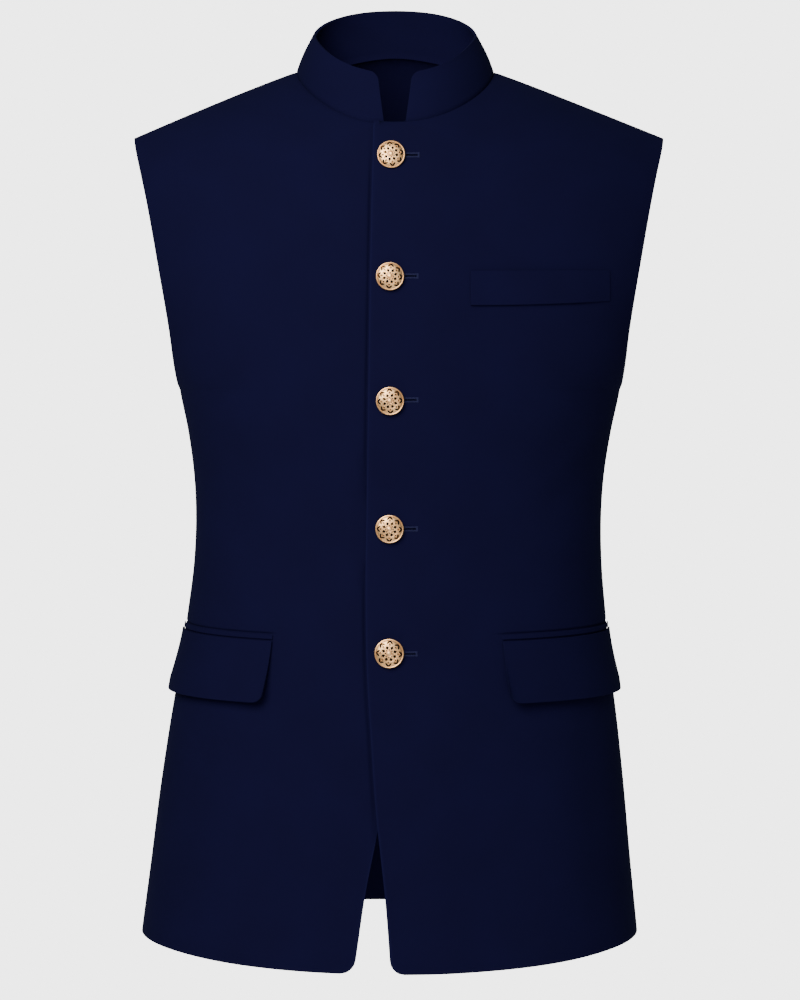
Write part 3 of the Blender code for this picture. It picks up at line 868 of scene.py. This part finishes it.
def makeFlap(name, jetName, side):
    start = turnAt(flap["innerX"][side] / halfWidth(flap["top"]))
    parts = spread(*flap["columns"])
    angles = blend(start, np.radians(flap["outerTurn"]), parts)
    top = flap["top"] + flap["topRise"] * parts
    ringX = turned(angles) * halfWidth(top)
    ring = clothPoints(side, -1, ringX, shoulderLine(ringX) - top)
    steps = np.linalg.norm(np.diff(ring, axis=0), axis=1)
    along = np.concatenate([[0.0], np.cumsum(steps)])
    bottom = flap["bottom"] + flap["bottomRise"] * parts + roundedEnds(along, along[-1], flap["corner"])
    down = spread(*flap["rows"])[::-1, None]
    heights = blend(top[None, :], bottom[None, :], down)
    slant = flap["slant"] * down * (1 - parts)[None, :]
    x = turned(angles)[None, :] * halfWidth(heights) + slant
    curl = flap["cornerLift"] * np.exp(-along / flap["cornerReach"])[None, :] * down**2
    standOff = blend(flap["offTop"], flap["offBottom"], down ** flap["liftPower"]) + curl
    made = patchOnFront(name, side, x, heights, standOff, flap["wall"], flap["rim"])
    jetUp = np.linspace(0.0, 1.0, flap["jetRows"])[:, None]
    jetHeights = top[None, :] + blend(flap["jetFrom"], flap["jetTo"], jetUp)
    jetX = turned(angles)[None, :] * halfWidth(jetHeights)
    jetOff = np.full(jetX.shape, flap["offTop"])
    jet = patchOnFront(jetName, side, jetX, jetHeights, jetOff, flap["jetWall"], flap["jetRim"])
    return made, jet


flapLeft, jetLeft = makeFlap("flapLeft", "jetLeft", 1)
flapRight, jetRight = makeFlap("flapRight", "jetRight", -1)

welt = {
    "wall": 2.0,
    "innerX": 60.0,
    "outerX": 172.0,
    "innerHeights": (-196.4, -168.7),
    "outerHeights": (-192.4, -167.5),
    "sewnFlat": 30.0,        # the outer end is sewn down over this length
    "sunk": 1.5,
    "columns": 26,
    "rows": ((0.0, 0.04), 0.12, 6),
    "rim": 0.7,
}


def makeWelt():
    across = closeToEnds(welt["columns"])[None, :]
    up = spread(*welt["rows"])[:, None]
    x = blend(welt["innerX"], welt["outerX"], across) + 0.0 * up
    low = blend(welt["innerHeights"][0], welt["outerHeights"][0], across**2)
    high = blend(welt["innerHeights"][1], welt["outerHeights"][1], across)
    sewn = eased(1 - (welt["outerX"] - x) / welt["sewnFlat"])
    standOff = form["seamGap"] + lap(x) - welt["sunk"] * sewn
    return patchOnFront("chestWelt", 1, x, blend(low, high, up), standOff, welt["wall"], welt["rim"])


chestWelt = makeWelt()
print("flaps, jets and welt made")


# Buttons and buttonholes

button = {
    "places": ((-2.9, -76.2), (-3.8, -173.4), (-3.8, -272.5), (-4.2, -375.4), (-4.5, -475.3)),
    "turns": (8.4, -5.0, 3.0, -2.0, -4.0),     # each is sewn on a little differently
    "sizes": (1.0, 1.0, 1.0, 1.01, 1.05),
    "rimTop": 3.1,
    "dome": 2.6,
    "domeRadius": 10.4,
    "plate": 0.55,
    "rimRadius": 10.65,
    "rimWire": 0.6,
    "rimDrop": 0.05,
    "rimSteps": 72,
    "repeats": 8,
    "smoothAngle": 35.0,
    # The piercing: distance from the middle, height, radius, stretch outwards and sideways, corners
    "diamonds": (4.725, 5.0, 1.35, (1.15, 1.0, 1), 4),
    "pinholes": (2.98125, 5.4, 0.52, (1, 1, 1), 8),
    "notches": (6.975, 4.8, 0.5, (0.9, 1.9, 1), 6),
    "legs": (8.75, 4.4, 0.74, (1.0, 2.65, 1), 6),
    "legAside": 0.125,       # each leg of an arrowhead stands this angle beside its middle
    "legLean": 0.728,        # and leans this much
    "cutDepth": 4.0,
    # The wires laid on the dome: distance from the middle, thickness and steps round
    "wires": ((6.35625, 0.16, 56), (2.25, 0.2, 32)),
    # The balls on the dome: distance, lift, radius, flattening and steps round and up
    "studs": (7.9875, -0.5, 0.6, 1.8, 12, 8),
    "beads": (5.9625, 0.05, 0.5, 0.8, 10, 6),
    "grains": (2.925, 0.0, 0.36, 0.7, 10, 6),
    "boss": (0.0, 0.0, 1.96875, 0.35, 32, 16),
    "backingRadius": 10.2,
    "backingHeight": 0.9,
    "backingDrop": 0.1,
    "cupRadius": 10.8,
    "cupDepth": 1.3,
    "cupMiddle": 2.4,
    "cupInsets": ((1.6, 0.35), (6.4, 0.1)),
    "shankLength": 1.35,
}
hole = {
    "from": -1.5,
    "to": 21.3,
    "below": (0.4, -0.2, -0.7, 0.1, 0.7),
    "slit": 1.2,
    "stitchLength": 1.5,
    "stitchWidth": 0.62,
    "stitchHeight": 0.42,
    "stitchFill": (0.58, 0.62),     # half of each stitch's width and length, as shares of these
    "stitchLift": 0.08,
    "placeJitter": 0.05,
    "turnJitter": 5.0,
    "barStitches": 8,
    "barGap": 0.7,
    "barShort": 0.5,
    "barJitter": 4.0,
    "cutDepth": 12.0,
}


def domeHeight(r):
    return button["rimTop"] + button["dome"] * np.sqrt(max(1 - (r / button["domeRadius"]) ** 2, 0.0))


def place(kind, r, angle, height, scale=(1, 1, 1), turn=0.0, **size):
    # One primitive at a distance and angle from the button's middle.
    position = (r * np.cos(angle) * mm, r * np.sin(angle) * mm, height * mm)
    getattr(bpy.ops.mesh, kind)(location=position, rotation=(0, 0, angle + turn), **size)
    made = bpy.context.object
    made.scale = scale
    bpy.ops.object.transform_apply(location=True, rotation=True, scale=True)
    return made


def joined(parts, name):
    bpy.ops.object.select_all(action="DESELECT")
    for part in parts:
        part.select_set(True)
    bpy.context.view_layer.objects.active = parts[0]
    bpy.ops.object.join()
    made = bpy.context.object
    made.name = name
    return made


def cutter(kind, angle, turn=0.0):
    r, height, radius, stretch, corners = button[kind]
    return place("primitive_cylinder_add", r, angle, height, stretch, turn,
                 vertices=corners, radius=radius * mm, depth=button["cutDepth"] * mm)


def motifAngles():
    # The middle of each motif, and the middle between it and the next.
    step = 2 * np.pi / button["repeats"]
    return [(step * number, step * number + step / 2) for number in range(button["repeats"])]


def makeCutters():
    # Eight arrowheads near the rim, each of two legs and a notch, with a ring of diamonds and one of
    # pinholes inside.
    cutters = []
    for motif, between in motifAngles():
        cutters.append(cutter("diamonds", between))
        cutters.append(cutter("pinholes", motif))
        cutters.append(cutter("notches", motif))
        for hand in (1, -1):
            lean = -hand * (button["legLean"] + button["legAside"]) - np.pi / 2
            cutters.append(cutter("legs", motif + hand * button["legAside"], lean))
    made = joined(cutters, "cutters")
    # The cutters carry the painted shade onto the walls they cut.
    made.data.materials.append(piercingShade)
    return made


def makePlate():
    # The top half of a ball, flattened to the dome, given its thickness and then pierced.
    bpy.ops.object.select_all(action="DESELECT")
    bpy.ops.mesh.primitive_uv_sphere_add(segments=96, ring_count=48, radius=button["domeRadius"] * mm)
    plate = bpy.context.object
    plate.data.materials.append(gilt)
    bpy.ops.object.mode_set(mode="EDIT")
    bpy.ops.mesh.select_all(action="SELECT")
    bpy.ops.mesh.bisect(plane_co=(0, 0, 0), plane_no=(0, 0, 1), clear_inner=True)
    bpy.ops.object.mode_set(mode="OBJECT")
    plate.scale = (1, 1, button["dome"] / button["domeRadius"])
    plate.location = (0, 0, button["rimTop"] * mm)
    bpy.ops.object.transform_apply(location=True, rotation=True, scale=True)
    wall = plate.modifiers.new("wall", "SOLIDIFY")
    wall.thickness = button["plate"] * mm
    wall.offset = -1
    bpy.ops.object.modifier_apply(modifier=wall.name)
    cutters = makeCutters()
    pierce = plate.modifiers.new("pierce", "BOOLEAN")
    pierce.operation = "DIFFERENCE"
    pierce.solver = "EXACT"
    pierce.use_self = True
    pierce.object = cutters
    pierce.material_mode = "TRANSFER"     # the walls of the piercing get the painted shade too
    selectOnly(plate)
    bpy.ops.object.modifier_apply(modifier=pierce.name)
    bpy.data.objects.remove(cutters)
    return plate


def makeBacking():
    # The dark shell just under the pierced plate, carrying the painted shade seen through the piercing.
    bpy.ops.object.select_all(action="DESELECT")
    bpy.ops.mesh.primitive_uv_sphere_add(segments=48, ring_count=24, radius=1.0)
    shell = bpy.context.object
    shell.scale = Vector((button["backingRadius"], button["backingRadius"], button["backingHeight"])) * mm
    shell.location = (0, 0, (button["rimTop"] - button["backingDrop"]) * mm)
    bpy.ops.object.transform_apply(location=True, rotation=True, scale=True)
    return shell


def makeCup():
    # The plain back of the button: a shallow dish, turned in towards the shank.
    bpy.ops.object.select_all(action="DESELECT")
    bpy.ops.mesh.primitive_cylinder_add(vertices=64, radius=button["cupRadius"] * mm,
                                        depth=button["cupDepth"] * mm,
                                        location=(0, 0, button["cupMiddle"] * mm))
    cup = bpy.context.object
    bpy.ops.object.mode_set(mode="EDIT")
    bpy.ops.mesh.select_all(action="DESELECT")
    mesh = bmesh.from_edit_mesh(cup.data)
    for face in mesh.faces:
        face.select_set(face.normal.z < -0.9)
    bmesh.update_edit_mesh(cup.data)
    for thickness, deep in button["cupInsets"]:
        bpy.ops.mesh.inset(thickness=thickness * mm, depth=deep * mm)
    bpy.ops.mesh.extrude_region_move(TRANSFORM_OT_translate={"value": (0, 0, -button["shankLength"] * mm)})
    bpy.ops.object.mode_set(mode="OBJECT")
    bpy.ops.object.transform_apply(location=True, rotation=True, scale=True)
    return cup


def ball(kind, angle=0.0):
    r, lift, radius, flattening, around, upward = button[kind]
    return place("primitive_uv_sphere_add", r, angle, domeHeight(r) + lift, (1, 1, flattening),
                 segments=around, ring_count=upward, radius=radius * mm)


def ring(r, height, wire, steps):
    return place("primitive_torus_add", 0.0, 0.0, height, major_segments=steps, minor_segments=8,
                 major_radius=r * mm, minor_radius=wire * mm)


def makeButton():
    parts = [makePlate(), makeCup()]
    backing = makeBacking()
    bpy.ops.object.select_all(action="DESELECT")
    parts.append(ring(button["rimRadius"], button["rimTop"] - button["rimDrop"], button["rimWire"],
                      button["rimSteps"]))
    for r, wire, steps in button["wires"]:
        parts.append(ring(r, domeHeight(r), wire, steps))
    for motif, between in motifAngles():
        # A bright stud stands in each arrowhead, and smaller beads lie further in.
        parts.append(ball("studs", motif))
        parts.append(ball("beads", motif))
        parts.append(ball("grains", between))
    parts.append(ball("boss"))
    for part in parts[1:]:
        part.data.materials.append(gilt)
    backing.data.materials.append(piercingShade)
    made = joined(parts + [backing], "buttonModel")
    bpy.ops.object.shade_smooth_by_angle(angle=np.radians(button["smoothAngle"]))
    return made


def seatOf(x, height, standOff, upright=0.0):
    # The turn and place of something that sits on the left front at this spot. The more upright it is,
    # the more it faces forward rather than square off the cloth.
    fall = shoulderLine(x) - height
    normal = (Vector(clothNormal(1, x, fall)) + Vector((0, -upright, 0))).normalized()
    point = Vector(clothPoints(1, -1, np.array([x]), np.array([fall]))[0]) + normal * (lap(x) + standOff)
    across = Vector((1, 0, 0)) - normal * normal.x
    across.normalize()
    up = normal.cross(across)
    turn = Matrix((across, up, normal)).transposed().to_4x4()
    return Matrix.Translation(point * mm) @ turn


def ownCopy(model, name):
    made = model.copy()
    made.data = model.data.copy()
    made.name = name
    bpy.context.scene.collection.objects.link(made)
    return made


buttonModel = makeButton()
buttons = []
for number, (x, height) in enumerate(button["places"]):
    made = ownCopy(buttonModel, f"button{number + 1}")
    twist = Matrix.Rotation(np.radians(button["turns"][number]), 4, "Z")
    size = Matrix.Scale(button["sizes"][number], 4)
    made.data.transform(seatOf(x, height, form["seamGap"], 1.0) @ twist @ size)
    buttons.append(made)
bpy.data.objects.remove(buttonModel)
print("buttons made")


def makeStitch():
    # One turn of buttonhole twist: a short fat bar of thread.
    bpy.ops.object.select_all(action="DESELECT")
    bpy.ops.mesh.primitive_uv_sphere_add(segments=6, ring_count=6, radius=1.0)
    stitch = bpy.context.object
    stitch.rotation_euler = (np.pi / 2, 0, 0)
    bpy.ops.object.transform_apply(location=False, rotation=True, scale=False)
    bpy.ops.object.mode_set(mode="EDIT")
    bpy.ops.mesh.select_all(action="SELECT")
    wide, long = hole["stitchFill"]
    bpy.ops.transform.resize(value=(wide * hole["stitchWidth"] * mm, long * hole["stitchLength"] * mm,
                                    hole["stitchHeight"] * mm))
    bpy.ops.object.mode_set(mode="OBJECT")
    stitch.data.materials.clear()
    stitch.data.materials.append(thread)
    return stitch


def stitchPlaces(number):
    # x and y past the button's middle, and the turn, of each stitch round one buttonhole.
    rng = np.random.default_rng(40 + number)
    reach = hole["to"] - hole["from"]
    steps = int(reach / hole["stitchWidth"])
    offset = (hole["slit"] + hole["stitchLength"]) / 2
    places = []
    for step in range(steps + 1):
        x = hole["from"] + reach * step / steps
        for hand in (1, -1):
            jitter = rng.normal(0, hole["placeJitter"], 2)
            y = hand * offset + jitter[1] - hole["below"][number]
            places.append((x + jitter[0], y, rng.normal(0, hole["turnJitter"])))
    # A bar of stitches across closes the end.
    height = hole["slit"] + 2 * hole["stitchLength"] - hole["barShort"]
    for y in np.linspace(-height / 2, height / 2, hole["barStitches"]) - hole["below"][number]:
        x = hole["to"] + hole["barGap"] + rng.normal(0, hole["placeJitter"])
        places.append((x, y, 90 + rng.normal(0, hole["barJitter"])))
    return places


def makeButtonhole(stitch, number, x, height):
    parts = []
    for dx, dy, turn in stitchPlaces(number):
        part = ownCopy(stitch, "stitch")
        seat = seatOf(x + dx, height + dy, hole["stitchLift"])
        part.data.transform(seat @ Matrix.Rotation(np.radians(turn), 4, "Z"))
        parts.append(part)
    made = joined(parts, f"buttonhole{number + 1}")
    bpy.ops.object.shade_smooth()
    return made


def cutSlits(piece):
    # Each buttonhole is a real cut through the left front.
    cutters = []
    for (x, height), below in zip(button["places"], hole["below"]):
        bpy.ops.object.select_all(action="DESELECT")
        bpy.ops.mesh.primitive_cylinder_add(vertices=16, radius=hole["slit"] / 2 * mm,
                                            depth=hole["cutDepth"] * mm)
        slit = bpy.context.object
        bpy.ops.object.mode_set(mode="EDIT")
        mesh = bmesh.from_edit_mesh(slit.data)
        for corner in mesh.verts:
            corner.co.x += (hole["to"] if corner.co.x > 0 else hole["from"]) * mm
        bmesh.update_edit_mesh(slit.data)
        bpy.ops.object.mode_set(mode="OBJECT")
        slit.data.transform(seatOf(x, height - below, 0.0))
        cutters.append(slit)
    tool = joined(cutters, "slitCutters")
    cut = piece.modifiers.new("slits", "BOOLEAN")
    cut.operation = "DIFFERENCE"
    cut.solver = "EXACT"
    cut.object = tool
    selectOnly(piece)
    bpy.ops.object.modifier_apply(modifier=cut.name)
    bpy.data.objects.remove(tool)


cutSlits(frontLeft)
stitchModel = makeStitch()
buttonholes = []
for number, (x, height) in enumerate(button["places"]):
    buttonholes.append(makeButtonhole(stitchModel, number, x, height))
bpy.data.objects.remove(stitchModel)
print("buttonholes made")


# What each piece stands for and rides on

standsFor = (
    (frontLeft, "front_left"),
    (frontRight, "front_right"),
    (backPanel, "back"),
    (bandCollar, "collar"),
    (chestWelt, "chest_welt"),
    (flapLeft, "flap_left"),
    (flapRight, "flap_right"),
    (jetLeft, "jet_left"),
    (jetRight, "jet_right"),
)
for piece, node in standsFor:
    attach(piece, "root")
    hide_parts(node)
for number, piece in enumerate(buttons, start=1):
    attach(piece, "root")
    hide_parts(f"button_{number}")
for piece in buttonholes:
    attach(piece, "root")

print("pieces declared")


# Floor, light and camera

# The floor's radius and the lights' places and sizes are in metres, the rest in millimetres.
studio = {
    "floorHeight": -1500.0,
    "floorRadius": 2.2,      # small enough to lie under the picture, and it fades out towards its edge
    "key": {"at": (-0.68, -1.8, 0.68), "size": 1.4, "power": 61.0},
    "fill": {"at": (0.6, -2.3, -0.9), "size": 1.8, "power": 10.5},
    "back": {"at": (0.0, 2.5, -0.5), "size": 0.7, "power": 115.0},     # narrow, so no edge glows in front
    "floorFade": (0.4, 0.98),     # the shares of its radius between which it fades
    "aim": (0.0, 0.0, -0.3),
    "world": 0.22,
    "worldTint": (0.72, 0.84, 1.0, 1.0),
    "backdrop": 4.0,         # how bright the surroundings look behind the jacket
    "eye": (4.2, -2600.0, -228.0),
    "target": (4.2, 0.0, -358.0),
    "seenHeight": 840.0,     # how much of the jacket's plane the picture's height takes in
}


def makeFloor():
    bpy.ops.object.select_all(action="DESELECT")
    bpy.ops.mesh.primitive_circle_add(vertices=96, radius=studio["floorRadius"], fill_type="NGON",
                                      location=(0, 0, studio["floorHeight"] * mm))
    floor = bpy.context.object
    floor.name = "studioFloor"
    material, tree, shader = startMaterial("paleStudioFloor", {
        "Base Color": colour("#f4f4f4"), "Roughness": 0.9,
    })
    middle = addNode(tree, "ShaderNodeTexCoord")
    level = addNode(tree, "ShaderNodeMapping", values={"Scale": (1.0, 1.0, 0.0)},
                    links={"Vector": middle.outputs["Object"]})
    reach = addNode(tree, "ShaderNodeVectorMath", {"operation": "LENGTH"},
                    links={0: level.outputs["Vector"]})
    start, end = [share * studio["floorRadius"] for share in studio["floorFade"]]
    fade = addNode(tree, "ShaderNodeMapRange", {"interpolation_type": "SMOOTHSTEP"},
                   {"From Min": start, "From Max": end, "To Min": 1.0, "To Max": 0.0},
                   {"Value": reach.outputs["Value"]})
    tree.links.new(fade.outputs["Result"], shader.inputs["Alpha"])
    floor.data.materials.append(material)
    bpy.ops.object.transform_apply(location=True, rotation=True, scale=True)


def addLight(name, settings):
    data = bpy.data.lights.new(name, "AREA")
    data.size = settings["size"]
    data.energy = settings["power"]
    light = bpy.data.objects.new(name, data)
    light.location = settings["at"]
    light.visible_camera = False
    aim = Vector(studio["aim"]) - light.location
    light.rotation_euler = aim.to_track_quat("-Z", "Y").to_euler()
    bpy.context.scene.collection.objects.link(light)


def makeStudio():
    makeFloor()
    for name in ("key", "fill", "back"):
        addLight(name + "Light", studio[name])
    world = bpy.data.worlds.new("studioWorld")
    world.use_nodes = True
    background = world.node_tree.nodes["Background"]
    sight = addNode(world.node_tree, "ShaderNodeLightPath")
    strength = addNode(world.node_tree, "ShaderNodeMix", {"data_type": "FLOAT"},
                       {2: studio["world"], 3: studio["backdrop"]},
                       {"Factor": sight.outputs["Is Camera Ray"]})
    tint = addNode(world.node_tree, "ShaderNodeMix", {"data_type": "RGBA"},
                   {6: studio["worldTint"], 7: (1.0, 1.0, 1.0, 1.0)},
                   {"Factor": sight.outputs["Is Camera Ray"]})
    world.node_tree.links.new(strength.outputs[0], background.inputs["Strength"])
    world.node_tree.links.new(tint.outputs[2], background.inputs["Color"])
    bpy.context.scene.world = world
    eye = Vector(studio["eye"]) * mm
    target = Vector(studio["target"]) * mm
    data = bpy.data.cameras.new("photoCamera")
    data.sensor_fit = "VERTICAL"
    data.sensor_height = 24.0
    data.lens = 24.0 * (target - eye).length / (studio["seenHeight"] * mm)
    camera = bpy.data.objects.new("photoCamera", data)
    camera.location = eye
    camera.rotation_euler = (target - eye).to_track_quat("-Z", "Y").to_euler()
    bpy.context.scene.collection.objects.link(camera)
    bpy.context.scene.camera = camera


makeStudio()
print("studio made")
